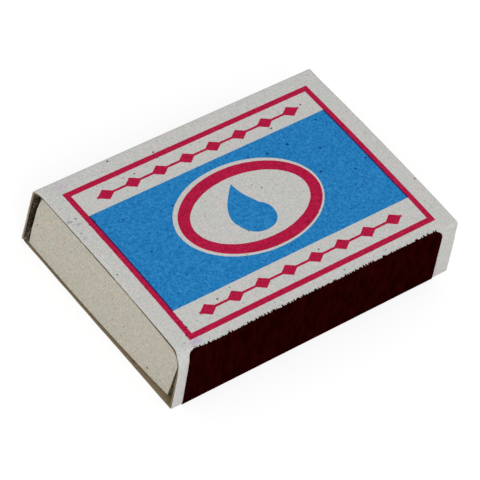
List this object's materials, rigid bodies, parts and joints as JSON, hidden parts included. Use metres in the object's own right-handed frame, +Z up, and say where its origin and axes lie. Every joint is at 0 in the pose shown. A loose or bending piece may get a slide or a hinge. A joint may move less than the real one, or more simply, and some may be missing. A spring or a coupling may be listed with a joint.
{
  "type": "sliding matchbox",
  "caption": "Folded card sleeve with a striking strip on each long side and a sliding card tray that holds wooden safety matches.",
  "frame": {"origin": "middle of the sleeve's underside, in the plane that the box rests on", "axes": "+X along the box towards its plain end, so the end that the picture shows is at -X; +Y across it, away from the front striker; +Z up through the printed top"},
  "size_m": [0.053, 0.0372, 0.011],
  "materials": {
    "sleeve_board": "uncoated grey-white recycled board with dark specks",
    "tray_board": "uncoated cream-grey recycled board",
    "striker": "rough matt dark maroon striking coat",
    "crimson_ink": "matt offset ink",
    "blue_ink": "matt offset ink",
    "match_wood": "raw split aspen with a matt dipped head"
  },
  "bodies": {
    "sleeve_body": {"sleeve": "sleeve_board", "striker_front": "striker", "striker_back": "striker", "label_frame": "crimson_ink", "label_field": "blue_ink", "label_medallion_ring": "crimson_ink", "label_flame": "blue_ink", "label_chain_front": "crimson_ink", "label_chain_back": "crimson_ink"},
    "tray_body": {"tray": "tray_board", "match_01": "match_wood", "match_02": "match_wood", "match_03": "match_wood", "match_04": "match_wood", "match_05": "match_wood", "match_06": "match_wood", "match_07": "match_wood", "match_08": "match_wood", "match_09": "match_wood", "match_10": "match_wood", "match_11": "match_wood", "match_12": "match_wood", "match_13": "match_wood", "match_14": "match_wood", "match_15": "match_wood", "match_16": "match_wood", "match_17": "match_wood", "match_18": "match_wood", "match_19": "match_wood", "match_20": "match_wood", "match_21": "match_wood", "match_22": "match_wood", "match_23": "match_wood", "match_24": "match_wood", "match_25": "match_wood", "match_26": "match_wood", "match_27": "match_wood", "match_28": "match_wood", "match_29": "match_wood", "match_30": "match_wood", "match_31": "match_wood", "match_32": "match_wood", "match_33": "match_wood", "match_34": "match_wood", "match_35": "match_wood", "match_36": "match_wood", "match_37": "match_wood", "match_38": "match_wood", "match_39": "match_wood", "match_40": "match_wood"}
  },
  "joints": [
    {"name": "tray_slide", "type": "slide", "parent": "sleeve_body", "child": "tray_body", "axis": [1, 0, 0], "range_m": [-0.048, 0.048]}
  ]
}
